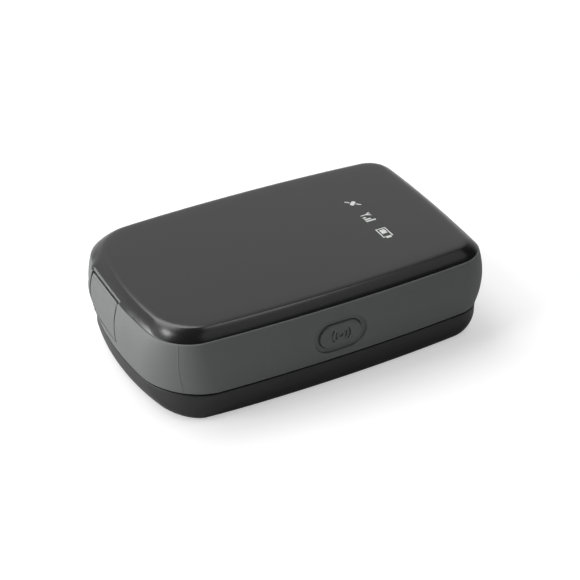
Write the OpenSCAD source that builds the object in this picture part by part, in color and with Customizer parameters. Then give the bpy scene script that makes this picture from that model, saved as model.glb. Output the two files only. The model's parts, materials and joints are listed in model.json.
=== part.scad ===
// Pocket GPS tracker. A black top cover and a black bottom shell close on a grey side band,
// which carries the alarm button, the power button and the hinged flap over the charging port.
// X runs along the case, the port end is at -X, the alarm button faces -Y and Z is up.

/* [Case] */
// Length of the case, end to end
case_l = 77; // [75:0.5:84]
// Width of the case, side to side
case_w = 48; // [47:0.5:54]
// Height of the case
case_h = 21; // [20.5:0.25:24]
// Wall of the three case pieces
wall = 1.6; // [1.3:0.1:1.8]
// Corner radius at the port end, seen from above
port_corner_r = 11.1; // [9:0.1:13]
// Corner radius at the icon end, seen from above
icon_corner_r = 7.2; // [6:0.1:12]
// How far the middle of the port end bulges past its corners
port_end_bow = 2.9; // [1:0.1:3.5]
// How far the middle of the icon end bulges past its corners
icon_end_bow = 0.9; // [0.4:0.1:2]
// How far the middle of each long side bulges past its corners
side_bow = 1.5; // [0.5:0.1:2]

/* [Case sections] */
// Height of the rounded bottom edge
base_arc_h = 4.1; // [3:0.1:5]
// Inward run of the rounded top edge at the ends
crest_end_in = 3.4; // [2.5:0.1:4]
// Inward run of the rounded top edge along the sides
crest_side_in = 2.7; // [2:0.1:3.5]
// Thickness of the top cover's roof
roof_t = 1.6; // [1.2:0.1:1.8]
// Thickness of the seal between the band and the bottom shell
seal_t = 0.3; // [0.2:0.05:0.5]

/* [Buttons] */
// Length of the alarm button
sos_l = 9.4; // [8:0.1:12]
// Travel of the alarm button
sos_travel = 0.6; // [0.3:0.05:0.7]
// Length of the power button
power_l = 6; // [5:0.1:8]
// Travel of the power button
power_travel = 0.4; // [0.2:0.05:0.6]
// Gap round each button in its hole
button_gap = 0.15; // [0.1:0.01:0.3]

/* [Port flap] */
// Width of the flap
flap_w = 12.6; // [11:0.1:14]
// Thickness of the flap
flap_t = 1.7; // [1.5:0.05:1.9]
// Gap between the flap and its recess
flap_gap = 0.2; // [0.15:0.01:0.3]
// Gap over the flap
nail_gap = 0.35; // [0.25:0.05:0.6]
// Height of the thumbnail bevel at the top of the flap
nail_bevel = 0.55; // [0.3:0.05:0.8]
// Angle to which the flap opens
flap_open = 110; // [80:1:115]

/* [Battery and board] */
// Room between the battery cell and each long side of the case
cell_side = 7; // [6.5:0.5:10]
// Thickness of the circuit board
board_t = 1.2; // [1:0.1:1.4]

/* [Hidden] */
$fn = 48;

// Steps that the curved outline and the rounded edges are drawn with
corner_steps = 7;
side_steps = 4;
end_steps = 4;
edge_steps = 5;
belly_steps = 4;
// Overrun of every cut past the face that it opens
cut = 0.5;
// Small step of the band past the black cover, and the fits between case pieces
cover_step = 0.12;
case_fit = 0.1;
lip_fit = 0.05;
rim_t = 1;
seal_w = 1;

// Shares of the case's height that the bottom shell and the top cover take
shell_share = 0.297;
cover_share = 0.1105;
shell_h = shell_share * case_h;
cover_h = cover_share * case_h;

// Heights of the seams, of the band between them and of the widest line
seam_low = shell_h;
seam_top = case_h - cover_h;
band_h = seam_top - seam_low;
belly_z = (seam_low + seam_top) / 2;
roof_z = case_h - roof_t;

// Shares of the band's height: rims inside it, buttons, their flanges and how far they sit low
rim_share = 0.16;
sos_share = 0.426;
power_share = 0.225;
flange_share = 0.072;
low_share = 0.029;
rim_h = rim_share * band_h;
sos_h = sos_share * band_h;
power_h = power_share * band_h;
flange_w = flange_share * band_h;
button_z = belly_z - low_share * band_h;
// Inward run of each level, at the ends and along the sides
low_in = [1.37, 0.5];
high_in = [1.06, 0.81];
base_in = [5.02, 1.8];
crest_in = [crest_end_in, crest_side_in];

// Heights of the inner stack: the switches set the board, and the cell fills what is left under it
switch_axis = 1.3;
pad_t = 0.6;
board_gap = 1.4;
board_top = button_z - switch_axis;
board_z = board_top - board_t;
cell_t = board_z - board_gap - pad_t - wall;
cell_w = case_w - 2 * cell_side;
board_in = [4.6, 4.4];

// Screw columns, bosses and board posts, as shares of the case's length and width
boss_share = [0.3675, 0.3083];
post_share = [0.3701, 0.2];
boss_r = case_w / 20;
boss_z = 7;
pilot_r = 1;
pilot_l = 8;
screw_r = 0.95;
screw_l = 7.5;
bore_wall = 0.4;
head_gap = 0.2;
counterbore_r = boss_r - bore_wall;
counterbore_h = 4;
screw_head_r = counterbore_r - head_gap;
screw_head_h = 1.4;
slot_l = 2.2;
slot_w = 0.5;
slot_d = 0.6;
post_r = case_w / 24;
board_screw_r = 0.8;
board_screw_l = 4;
board_screw_head_r = case_w / 32;
board_screw_head_h = 0.9;
board_hole_r = 0.95;
boss_x = boss_share[0] * case_l;
boss_y = boss_share[1] * case_w;
post_x = post_share[0] * case_l;
post_y = post_share[1] * case_w;

// Alarm button, power button and their switches
sos_x = 0.8;
power_x = 12;
moat_w = 1.15;
moat_d = 0.45;
flange_t = 0.6;
flange_gap = 0.25;
stem_r = 1;
switch_d = 3.4;
switch_top = 1.4;
sos_switch_l = 6;
power_switch_l = 4.8;
plunger_w = 2.2;
plunger_h = 1.2;
plunger_out = 1;
plunger_in = 1.6;
snug = 0.05;
mark_d = 0.25;
mark_dot_r = 0.5;
mark_line = 0.35;
mark_pitch = 0.85;
mark_spread = 42;

// Charging port and its flap
port_y = 0.0875 * case_w;
usb_w = 0.1604 * case_w;
usb_h = 3.9;
usb_l = 9.2;
usb_t = 0.3;
usb_chamfer = 0.9;
usb_gap = 0.3;
port_clear = 0.5;
port_r = 1;
port_frame_x = 3.4;
port_frame_edge = 1.6;
plug_d = 0.8;
plug_root = 0.2;
plug_gap = 0.4;
lip_h = 1;
lip_w = 1;
hinge_in = 0.8;
hinge_drop = 2.2;
barrel_r = 0.6;
heel_h = 1.15;
heel_t = 0.45;
bevel_in = 0.3;
swing_gap = 0.1;
flap_steps = 6;
ramp_d = 0.8;
ramp_w = 6;
trunnion_r = 0.4;
trunnion_l = 0.9;
trunnion_gap = 0.04;
usb_back = flap_t + plug_d + usb_gap;
usb_z = board_top + usb_h / 2;
hinge_z = usb_z - hinge_drop;
heel_z = hinge_z - heel_h;
flap_top = seam_top - nail_gap;

// Status icons: their place, their base plates and their strokes
icon_share = [0.2623, -0.0146];
icon_pitch = 0.1333 * case_w;
icon_plate = [4.8, 4.2, 0.5];
plate_gap = 0.05;
stroke = 0.28;
icon_x = icon_share[0] * case_l;
icon_y = icon_share[1] * case_w;
icon_ys = [icon_y + icon_pitch, icon_y, icon_y - icon_pitch];

// Light guide and indicator chips
led = [1.6, 0.9, 0.7];
led_gap = 0.2;
guide_w = 3;
guide_gap = 0.05;
guide_bar = [1.6, 1.2];
guide_foot = 1.2;

// Icons: overall size, the shapes' shares of it, and the tilt of the satellite
icon_size = 2.8;
icon_tilt = 45;
sat_body_share = [0.32, 0.6];
sat_wing_share = [0.4, 0.13];
sat_strut = 0.15;
cell_share = [1.23, 0.85];
cell_shift = 0.3;
nub_l = 0.45;
charge_share = 0.66;
bar_share = 0.42;
bar_pitch = 0.72;
bar_w = 0.5;
bar_count = 3;
mast_x = -1.1;

// Core and contacts of the charging socket
usb_core = 2;
tongue_w = 0.65 * usb_w;
tongue_h = 1.1;
tongue_up = 0.5;
tongue_sink = 0.8;
contact_pitch = 0.8;
contact_w = 0.35;
contact_h = 0.25;

// Radios, chips and card on the board: size first, then place, in the plan by shares of the case
function planned(share) = [share[0] * case_l, share[1] * case_w];
function sized(share, h) = [share[0] * case_l, share[1] * case_w, h];
patch = sized([0.2338, 0.375], 4);
patch_at = planned([0.039, 0.1042]);
patch_edge = 1.5;
patch_plate_t = 0.15;
feed_r = 0.5;
receiver = sized([0.0779, 0.1042], 0.9);
receiver_at = planned([-0.0519, -0.1875]);
modem_base_t = 0.8;
modem = sized([0.2078, 0.3125], 2.4);
modem_at = planned([-0.2208, -0.2083]);
can_edge = 0.4;
can_t = 0.2;
cpu = sized([0.1169, 0.1667], 1);
cpu_at = planned([0.0779, -0.1979]);
sensor = [3, 3, 0.9];
sensor_at = planned([0.2338, 0.2604]);
chip = [1, 0.5, 0.5];
chip_at = planned([0.1623, -0.2625]);
chip_pitch = planned([0.0208, 0.0292]);
chip_rows = 6;
chip_cols = 3;
aerial_room = 3.2;
aerial = sized([0.0909, 0.3021], roof_z - board_top - aerial_room);
aerial_x = 0.3182 * case_l;
aerial_t = 0.3;
aerial_leg_w = 1.4;
aerial_legs = [-aerial[1] / 2, -aerial[1] / 4];
sim = sized([0.1948, 0.25], 0.8);
sim_at = planned([-0.2013, 0.2083]);
sim_wall = 0.7;
sim_floor = 0.4;
sim_lid = 0.4;
sim_gap = 0.1;
sim_corner = 3;
board_clear = 0.4;

// Battery, its guard board, connector and leads
guard_l = 2.4;
guard_t = 1;
guard_in = 2;
guard_z = wall + pad_t + cell_t / 3;
pad_in = 4.4;
cell_r = 1.5;
cell_gap = 0.5;
cell_l = 2 * (min(post_x - post_r, boss_x - boss_r) - cell_gap) - guard_l;
cell_x = -guard_l / 2;
header = sized([0.0649, 0.1042], 3.2);
header_at = [0.1883 * case_l, board_in[1] + header[1] / 2 - case_w / 2];
header_t = 0.5;
plug_out = 1.5;
lead_r = 0.5;
lead_pitch = 1.3;
lead_slot = [3.4, 3.6];
lead_under = 0.9;
lead_clear = 0.2;
lead_bend = 1.6;
lead_steps = 4;
lead_sides = 8;

// Inward run of the case at height z: index 0 at the ends, 1 along the sides
function run_in(z, k) =
  z < base_arc_h ? base_in[k] + (low_in[k] - base_in[k]) * sqrt(max(0, 1 - pow(1 - z / base_arc_h, 2))) :
  z < seam_low ? low_in[k] :
  z < belly_z ? low_in[k] * pow((belly_z - z) / (belly_z - seam_low), 2) :
  z < seam_top ? high_in[k] * pow((z - belly_z) / (seam_top - belly_z), 2) :
  crest_in[k] + (high_in[k] - crest_in[k]) * sqrt(max(0, 1 - pow((z - seam_top) / cover_h, 2)));

// One outline point, drawn in by the bow of its end and of its side
function bowed(p, hx, hy) =
  let (end_bow = p[0] < 0 ? port_end_bow : icon_end_bow)
  [
    p[0] - sign(p[0]) * end_bow * pow(abs(p[1]) / hy, 2) * pow(abs(p[0]) / hx, 4),
    p[1] - sign(p[1]) * side_bow * pow(abs(p[0]) / hx, 2) * pow(abs(p[1]) / hy, 4)
  ];

function corner_point(k, a, hx, hy, inset) =
  let (sx = k < 2 ? 1 : -1, sy = (k == 1 || k == 2) ? 1 : -1)
  let (r = max((sx > 0 ? icon_corner_r : port_corner_r) - inset, wall / 2))
  [sx * (hx - r) + r * cos(a), sy * (hy - r) + r * sin(a)];

// The case seen from above, drawn in by given runs at its ends and sides
function outline(end_in, side_in) =
  let (hx = case_l / 2 - end_in, hy = case_w / 2 - side_in, inset = (end_in + side_in) / 2)
  [for (k = [0:3]) each
    let (a0 = 90 * k - 90, n = k % 2 == 0 ? end_steps : side_steps)
    let (p = corner_point(k, a0 + 90, hx, hy, inset))
    let (q = corner_point((k + 1) % 4, a0 + 90, hx, hy, inset))
    [
      for (i = [0:corner_steps]) bowed(corner_point(k, a0 + 90 * i / corner_steps, hx, hy, inset), hx, hy),
      for (i = [1:n - 1]) bowed(p + (q - p) * i / n, hx, hy)
    ]
  ];

function levels(zs, inset) = [for (z = zs) [z, run_in(z, 0) + inset, run_in(z, 1) + inset]];

// Solid skinned over outlines stacked at the given levels
module loft(rings) {
  n = len(outline(0, 0));
  m = len(rings);
  points = [for (r = rings) each [for (p = outline(r[1], r[2])) [p[0], p[1], r[0]]]];
  walls = [for (i = [0:m - 2], j = [0:n - 1], h = [0, 1])
    let (a = i * n + j, b = i * n + (j + 1) % n)
    h == 0 ? [a, a + n, b + n] : [a, b + n, b]];
  base = [[for (j = [0:n - 1]) j]];
  top = [[for (j = [0:n - 1]) m * n - 1 - j]];
  polyhedron(points = points, faces = concat(base, walls, top));
}

// Straight inner face of the side walls, as an inward run at the ends and along the sides
function inner_in(k) = max(low_in[k], high_in[k]) + wall;

// Upright plate with the case's outline, inset from the inner face of the side walls
module plate(z, h, inset) {
  translate([0, 0, z]) linear_extrude(h) polygon(outline(inner_in(0) + inset, inner_in(1) + inset));
}

module ring_plate(z, h, inset, t) {
  difference() {
    plate(z, h, inset);
    plate(z - cut, h + 2 * cut, inset + t);
  }
}

module at_corners(x, y) {
  for (sx = [-1, 1], sy = [-1, 1]) translate([sx * x, sy * y, 0]) children();
}

module box(size, at) {
  translate([at[0] - size[0] / 2, at[1] - size[1] / 2, at[2]]) cube(size);
}

// Rounded slot in the XZ plane, centred, running from y = 0 to y = depth
module slot_block(l, h, depth) {
  translate([0, depth, 0]) rotate([90, 0, 0]) linear_extrude(depth) {
    square([l - h, h], center = true);
    for (s = [-1, 1]) translate([s * (l - h) / 2, 0]) circle(d = h);
  }
}

// Puts its children on a long side: side -1 is the alarm button's, 1 the power button's,
// with y = 0 on the outer face and y growing into the case
module on_side(x, side) {
  y_out = case_w / 2 - side_bow * pow(x / (case_l / 2), 2);
  translate([x, side * y_out, button_z]) rotate([0, 0, side < 0 ? 0 : 180]) children();
}

// Puts its children on the port end: x = 0 at its widest point, x growing outwards
module on_port() {
  translate([-case_l / 2, port_y, 0]) rotate([0, 0, 180]) children();
}

module top_cover() {
  color([0.1, 0.1, 0.1]) difference() {
    union() {
      difference() {
        union() {
          loft(levels([for (i = [0:edge_steps]) seam_top + cover_h * sin(90 * i / edge_steps)],
            cover_step));
          plate(seam_top - rim_h, rim_h + roof_t / 2, case_fit);
        }
        plate(seam_top - rim_h - cut, roof_z - seam_top + rim_h + cut, case_fit + rim_t);
        on_port() port_lip(lip_fit, high_in[0] + cut);
      }
      at_corners(boss_x, boss_y) translate([0, 0, boss_z])
        cylinder(r = boss_r, h = roof_z - boss_z + cut);
    }
    at_corners(boss_x, boss_y) translate([0, 0, boss_z - cut]) cylinder(r = pilot_r, h = pilot_l + cut);
    for (i = [0:2]) translate([icon_x, icon_ys[i], 0]) icon_lens(i, plate_gap);
  }
}

// Raised flat lip of the band over the flap. The cover clears it by a fit, out past its face.
module port_lip(grow, out) {
  w = flap_w + 2 * (lip_w + grow);
  translate([-high_in[0] - wall - grow, -w / 2, seam_top - cut])
    cube([wall + grow + out, w, lip_h + cut + grow]);
}

module side_band() {
  z0 = seam_low + seal_t / 2;
  color([0.28, 0.28, 0.28]) difference() {
    union() {
      difference() {
        loft(levels([for (i = [0:belly_steps]) z0 + (seam_top - z0) * i / belly_steps], 0));
        plate(z0 - cut, seam_top - z0 + 2 * cut, 0);
      }
      on_port() port_lip(0, 0);
      port_face(z0);
      port_frame();
    }
    side_hole(sos_x, -1, sos_l, sos_h);
    side_hole(power_x, 1, power_l, power_h);
    on_port() flap_recess();
    usb_at() port_hole();
  }
}

// Face of the port end at the flap's own profile, from a low to a high level: [x, z] pairs
function face_line(z0, z1) =
  [for (i = [0:flap_steps]) let (z = z0 + (z1 - z0) * i / flap_steps) [-run_in(z, 0), z]];

// Flat face round the flap: it stands proud of the bowed end, ramped at its sides and below the heel
module port_face(z0) {
  w = flap_w + 2 * lip_w;
  on_port() intersection() {
    translate([0, w, 0]) rotate([90, 0, 0]) linear_extrude(2 * w)
      polygon(concat(
        [[-run_in(z0, 0) - ramp_d, z0]],
        face_line(heel_z - swing_gap, seam_top),
        [[-wall - ramp_d, seam_top], [-wall - ramp_d, z0]]
      ));
    linear_extrude(case_h) polygon([
      [0, -w / 2], [0, w / 2], [-wall - ramp_d, w / 2 + ramp_w], [-wall - ramp_d, -w / 2 - ramp_w]
    ]);
  }
}

// Block behind the port's recess, which carries the flap's hinge and frames the socket
module port_frame() {
  h0 = seam_low + rim_h + case_fit;
  h1 = seam_top - rim_h - case_fit;
  w = flap_w + 2 * port_frame_edge;
  intersection() {
    on_port() translate([-port_frame_x, -w / 2, h0]) cube([port_frame_x, w, h1 - h0]);
    plate(h0, h1 - h0, -wall / 2);
  }
}

module side_hole(x, side, l, h) {
  on_side(x, side) {
    translate([0, -cut, 0]) slot_block(l + 2 * moat_w, h + 2 * moat_w, cut + moat_d);
    translate([0, -cut, 0]) slot_block(l + 2 * button_gap, h + 2 * button_gap, 2 * cut + inner_in(1));
  }
}

// Hollow that the flap lies and swings in
module flap_recess() {
  w = flap_w + 2 * flap_gap;
  depth = flap_t + flap_gap;
  translate([-depth, -w / 2, hinge_z]) cube([depth + 2 * cut, w, seam_top - hinge_z]);
  swing_r = norm([hinge_in - run_in(heel_z, 0), heel_h]) + swing_gap;
  translate([-hinge_in, w / 2, hinge_z]) rotate([90, 0, 0]) cylinder(r = swing_r, h = w);
  translate([-hinge_in, -w / 2, hinge_z]) rotate([0, flap_open, 0])
    cube([hinge_in + swing_gap, w, 2 * hinge_in + 2 * cut]);
  translate([-hinge_in, w / 2 + trunnion_l + flap_gap, hinge_z]) rotate([90, 0, 0])
    cylinder(r = trunnion_r + trunnion_gap, h = w + 2 * (trunnion_l + flap_gap));
}

// Puts its children at the socket: x = 0 at the port end's face, x growing inwards
module usb_at() {
  translate([-case_l / 2, port_y, usb_z]) children();
}

module rounded_bar(l, w, h, r) {
  rotate([90, 0, 90]) linear_extrude(l) {
    square([w - 2 * r, h], center = true);
    square([w, h - 2 * r], center = true);
    for (sy = [-1, 1], sz = [-1, 1]) translate([sy * (w / 2 - r), sz * (h / 2 - r)]) circle(r = r);
  }
}

module port_hole() {
  translate([flap_t - cut, 0, 0])
    rounded_bar(port_frame_x + cut, usb_w + 2 * port_clear, usb_h + 2 * port_clear, port_r);
}

module bottom_shell() {
  z1 = seam_low - seal_t / 2;
  color([0.06, 0.06, 0.06]) difference() {
    union() {
      difference() {
        union() {
          loft(levels([for (i = [0:edge_steps + 1])
            i > edge_steps ? z1 : base_arc_h * (1 - cos(90 * i / edge_steps))], 0));
          plate(z1 - cut, rim_h + seal_t / 2 + cut, case_fit);
        }
        plate(wall, seam_low + rim_h, case_fit + rim_t);
      }
      at_corners(boss_x, boss_y) translate([0, 0, wall / 2])
        cylinder(r = boss_r, h = boss_z - wall / 2);
      at_corners(post_x, post_y) translate([0, 0, wall / 2])
        cylinder(r = post_r, h = board_z - wall / 2);
    }
    at_corners(boss_x, boss_y) {
      translate([0, 0, -cut]) cylinder(r = counterbore_r, h = counterbore_h + cut);
      cylinder(r = pilot_r, h = boss_z + cut);
    }
    at_corners(post_x, post_y) translate([0, 0, board_top - board_screw_l - cut])
      cylinder(r = board_hole_r, h = board_screw_l + cut);
  }
}

module case_gasket() {
  color([0.02, 0.02, 0.02]) translate([0, 0, -seal_t / 2]) ring_plate(seam_low, seal_t, -seal_w, seal_w);
}

module screw(r, l, head_r, head_h) {
  difference() {
    union() {
      cylinder(r = r, h = l);
      translate([0, 0, -head_h]) cylinder(r = head_r, h = head_h);
    }
    for (a = [0, 90]) rotate([0, 0, a]) translate([-slot_l / 2, -slot_w / 2, -head_h - cut])
      cube([slot_l, slot_w, slot_d + cut]);
  }
}

module case_screws() {
  color([0.55, 0.55, 0.57]) at_corners(boss_x, boss_y) translate([0, 0, counterbore_h])
    screw(screw_r, screw_l, screw_head_r, screw_head_h);
}

module board_screws() {
  color([0.6, 0.6, 0.62]) at_corners(post_x, post_y) translate([0, 0, board_top]) mirror([0, 0, 1])
    screw(board_screw_r, board_screw_l, board_screw_head_r, board_screw_head_h);
}

// Flap: a flat plate with the band's belly, a thumbnail bevel at its top and a thin heel below its hinge
module port_flap() {
  color([0.36, 0.36, 0.36]) {
    on_port() translate([0, flap_w / 2, 0]) rotate([90, 0, 0]) linear_extrude(flap_w) flap_section();
    on_port() {
      translate([-hinge_in, flap_w / 2, hinge_z]) rotate([90, 0, 0]) cylinder(r = barrel_r, h = flap_w);
      translate([-hinge_in, flap_w / 2 + trunnion_l, hinge_z]) rotate([90, 0, 0])
        cylinder(r = trunnion_r, h = flap_w + 2 * trunnion_l);
    }
    w = usb_w + 2 * (port_clear - plug_gap);
    h = usb_h + 2 * (port_clear - plug_gap);
    usb_at() translate([flap_t - plug_root, 0, 0]) rounded_bar(plug_d + plug_root, w, h, port_r);
  }
}

module flap_section() {
  polygon(concat(face_line(heel_z, flap_top - nail_bevel), [
    [-run_in(flap_top, 0) - bevel_in, flap_top],
    [-flap_t, flap_top],
    [-flap_t, hinge_z],
    [-run_in(heel_z, 0) - heel_t, hinge_z],
    [-run_in(heel_z, 0) - heel_t, heel_z]
  ]));
}

// Button that shows through the side, with a flange behind the wall and a stem to its switch
module side_button(l, h, tip) {
  y0 = inner_in(1) + flange_gap;
  slot_block(l, h, y0 + flange_t / 2);
  translate([0, y0, 0]) slot_block(l + 2 * flange_w, h + 2 * flange_w, flange_t);
  y1 = y0 + flange_t / 2;
  translate([0, y1, 0]) rotate([-90, 0, 0]) cylinder(r = stem_r, h = tip - y1);
}

// Beacon mark: a dot with two curved waves on each side
module beacon_mark() {
  circle(r = mark_dot_r);
  for (s = [0, 180], i = [1, 2]) rotate(s) intersection() {
    r = mark_dot_r + i * mark_pitch;
    difference() {
      circle(r = r);
      circle(r = r - mark_line);
    }
    polygon([[0, 0], for (t = [1, -1]) 2 * r * [cos(mark_spread), t * sin(mark_spread)]]);
  }
}

module sos_button() {
  color([0.3, 0.3, 0.3]) on_side(sos_x, -1) difference() {
    side_button(sos_l, sos_h, board_in[1] - plunger_out);
    translate([0, mark_d, 0]) rotate([90, 0, 0]) linear_extrude(mark_d + cut) beacon_mark();
  }
}

module power_button() {
  color([0.3, 0.3, 0.3]) on_side(power_x, 1) side_button(power_l, power_h, board_in[1] - plunger_out);
}

// Side switch on the board's edge: y = 0 at its front face, y growing into the case
module switch_body(l) {
  h = switch_axis + switch_top;
  difference() {
    translate([-l / 2, 0, -switch_axis]) cube([l, switch_d, h]);
    translate([0, -cut, 0]) plunger_block(snug, cut + plunger_in + sos_travel + snug);
  }
}

module plunger_block(grow, l) {
  w = plunger_w + 2 * grow;
  h = plunger_h + 2 * grow;
  translate([-w / 2, 0, -h / 2]) cube([w, l, h]);
}

module sos_switch_body() {
  color([0.12, 0.12, 0.12]) on_side(sos_x, -1) translate([0, board_in[1], 0]) switch_body(sos_switch_l);
}

module sos_switch_plunger() {
  color([0.85, 0.84, 0.8]) on_side(sos_x, -1) translate([0, board_in[1] - plunger_out, 0])
    plunger_block(0, plunger_out + plunger_in);
}

module power_switch_body() {
  color([0.12, 0.12, 0.12]) on_side(power_x, 1) translate([0, board_in[1], 0]) switch_body(power_switch_l);
}

module power_switch_plunger() {
  color([0.85, 0.84, 0.8]) on_side(power_x, 1) translate([0, board_in[1] - plunger_out, 0])
    plunger_block(0, plunger_out + plunger_in);
}

// Straight stroke between two points
module line_2d(a, b, w) {
  d = b - a;
  translate(a) rotate(atan2(d[1], d[0])) translate([0, -w / 2]) square([norm(d), w]);
}

// Icons, drawn upright: a satellite, an aerial with rising bars and a battery
module satellite_2d() {
  body = icon_size * sat_body_share;
  wing = icon_size * sat_wing_share;
  rotate(icon_tilt) {
    square(body, center = true);
    for (s = [-1, 1]) {
      translate([s * (body[0] / 2 + stroke + wing[0] / 2), 0]) square(wing, center = true);
      translate([s * (body[0] / 2 + stroke / 2), 0]) square([2 * stroke, sat_strut], center = true);
    }
  }
}

module signal_2d() {
  h = icon_size * bar_share;
  line_2d([mast_x, -h], [mast_x, h], stroke);
  for (s = [-1, 1]) line_2d([mast_x, 0], [mast_x + s * h / 2, h], stroke);
  for (i = [1:bar_count]) translate([mast_x + i * bar_pitch, -h]) square([bar_w, 2 * h * i / bar_count]);
}

module battery_2d() {
  l = icon_size * cell_share[0];
  h = icon_size * cell_share[1];
  translate([cell_shift, 0]) {
    difference() {
      square([l, h], center = true);
      square([l - 2 * stroke, h - 2 * stroke], center = true);
      translate([l / 2 - 4 * stroke, -h / 2 - cut]) square([stroke, 2 * stroke + cut]);
    }
    translate([l / 2, -h / 4]) square([nub_l, h / 2]);
    translate([-l / 2 + 2 * stroke, -h / 2 + 2 * stroke])
      square([(l - 4 * stroke) * charge_share, h - 4 * stroke]);
  }
}

module icon_2d(i) {
  if (i == 0) satellite_2d();
  if (i == 1) signal_2d();
  if (i == 2) battery_2d();
}

// Light window: a plate under the roof, and the icon standing on it, level with the roof
module icon_lens(i, grow) {
  z1 = roof_z + icon_plate[2] / 2;
  box([icon_plate[1] + 2 * grow, icon_plate[0] + 2 * grow, icon_plate[2]], [0, 0, roof_z]);
  translate([0, 0, z1]) rotate([0, 0, -90]) linear_extrude(case_h - z1) icon_2d(i);
}

module icon_window(i) {
  color([0.9, 0.91, 0.92]) translate([icon_x, icon_ys[i], 0]) icon_lens(i, 0);
}

module gps_icon_lens() {
  icon_window(0);
}

module signal_icon_lens() {
  icon_window(1);
}

module battery_icon_lens() {
  icon_window(2);
}

module light_guide() {
  z0 = board_top + led[2] + led_gap;
  bar_l = 2 * icon_pitch + guide_w + 2 * guide_foot;
  color([0.85, 0.9, 0.92]) {
    for (y = icon_ys) box([guide_w, guide_w, roof_z - guide_gap - z0], [icon_x, y, z0]);
    box([guide_bar[0], bar_l + 2 * guide_foot, guide_bar[1]], [icon_x, icon_y, z0]);
    for (s = [-1, 1])
      box([guide_bar[0], guide_foot, z0 + guide_bar[1] - board_top],
        [icon_x, icon_y + s * (bar_l + guide_foot) / 2, board_top]);
  }
}

module status_leds() {
  color([0.95, 0.95, 0.85]) for (y = icon_ys) box(led, [icon_x, y, board_top]);
}

// Board, notched at its edges for the screw bosses and for the leads of the cell
module circuit_board() {
  color([0.05, 0.25, 0.14]) difference() {
    translate([0, 0, board_z]) linear_extrude(board_t) polygon(outline(board_in[0], board_in[1]));
    at_corners(boss_x, boss_y) translate([0, 0, board_z - cut])
      cylinder(r = boss_r + board_clear, h = board_t + 2 * cut);
    for (sx = [-1, 1], sy = [-1, 1])
      box([2 * (boss_r + board_clear), case_w / 2, board_t + 2 * cut],
        [sx * boss_x, sy * (boss_y + case_w / 4), board_z - cut]);
    at_corners(post_x, post_y) translate([0, 0, board_z - cut])
      cylinder(r = board_hole_r, h = board_t + 2 * cut);
    box([lead_slot[0], 2 * lead_slot[1], board_t + 2 * cut],
      [cell_x + cell_l / 2 + guard_l / 2, -(case_w / 2 - board_in[1]), board_z - cut]);
  }
}

module usb_shape(grow) {
  w = usb_w / 2 - grow;
  h = usb_h / 2 - grow;
  k = usb_chamfer;
  polygon([[-w, h], [w, h], [w, k - h], [w - k, -h], [k - w, -h], [-w, k - h]]);
}

module usb_place() {
  usb_at() translate([usb_back, 0, 0]) rotate([90, 0, 90]) children();
}

module usb_socket_shell() {
  color([0.75, 0.75, 0.76]) usb_place() difference() {
    linear_extrude(usb_l) usb_shape(0);
    translate([0, 0, -cut]) linear_extrude(usb_l + 2 * cut) usb_shape(usb_t);
  }
}

// Plastic core of the socket: a block that closes the back and the tongue that carries the contacts
module usb_tongue() {
  color([0.05, 0.05, 0.05]) usb_place() difference() {
    union() {
      translate([0, 0, usb_l - usb_core]) linear_extrude(usb_core) usb_shape(usb_t);
      translate([-tongue_w / 2, tongue_up - tongue_h / 2, tongue_sink])
        cube([tongue_w, tongue_h, usb_l - tongue_sink - usb_core / 2]);
    }
    contact_bars();
  }
}

module contact_bars() {
  z0 = tongue_sink + contact_w;
  for (i = [-2:2]) translate([i * contact_pitch - contact_w / 2, tongue_up - tongue_h / 2, z0])
    cube([contact_w, contact_h, usb_l - z0 - usb_core / 2]);
}

module usb_contacts() {
  color([0.85, 0.7, 0.35]) usb_place() contact_bars();
}

module gps_antenna() {
  color([0.78, 0.7, 0.55]) difference() {
    box(patch, [patch_at[0], patch_at[1], board_top]);
    translate([patch_at[0], patch_at[1], board_top - cut])
      cylinder(r = feed_r + snug, h = patch[2] + 2 * cut);
  }
}

// Silvered plate on the ceramic and its feed pin
module gps_antenna_feed() {
  color([0.8, 0.8, 0.78]) {
    box([patch[0] - 2 * patch_edge, patch[1] - 2 * patch_edge, patch_plate_t],
      [patch_at[0], patch_at[1], board_top + patch[2]]);
    translate([patch_at[0], patch_at[1], board_top]) cylinder(r = feed_r, h = patch[2] + patch_plate_t / 2);
  }
}

module gps_receiver() {
  color([0.7, 0.7, 0.72]) box(receiver, [receiver_at[0], receiver_at[1], board_top]);
}

module cell_module_base() {
  color([0.04, 0.2, 0.12]) box([modem[0], modem[1], modem_base_t], [modem_at[0], modem_at[1], board_top]);
}

module can(h, z, inset) {
  box([modem[0] - 2 * inset, modem[1] - 2 * inset, h], [modem_at[0], modem_at[1], z]);
}

module cell_module_can() {
  z0 = board_top + modem_base_t;
  color([0.72, 0.72, 0.74]) difference() {
    can(modem[2] - modem_base_t, z0, can_edge);
    can(modem[2] - modem_base_t - can_t + cut, z0 - cut, can_edge + can_t);
  }
}

// Bent sheet aerial: a plate over the board on two legs
module cell_antenna() {
  x0 = aerial_x;
  color([0.82, 0.68, 0.4]) {
    translate([x0, -aerial[1] / 2, board_top + aerial[2] - aerial_t])
      cube([aerial[0], aerial[1], aerial_t]);
    for (y = aerial_legs) translate([x0, y, board_top]) cube([aerial_t, aerial_leg_w, aerial[2]]);
    translate([x0 + aerial[0] - aerial_t, -aerial_leg_w / 2, board_top])
      cube([aerial_t, aerial_leg_w, aerial[2]]);
  }
}

module processor() {
  color([0.07, 0.07, 0.07]) box(cpu, [cpu_at[0], cpu_at[1], board_top]);
}

module motion_sensor() {
  color([0.1, 0.1, 0.11]) box(sensor, [sensor_at[0], sensor_at[1], board_top]);
}

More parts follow.
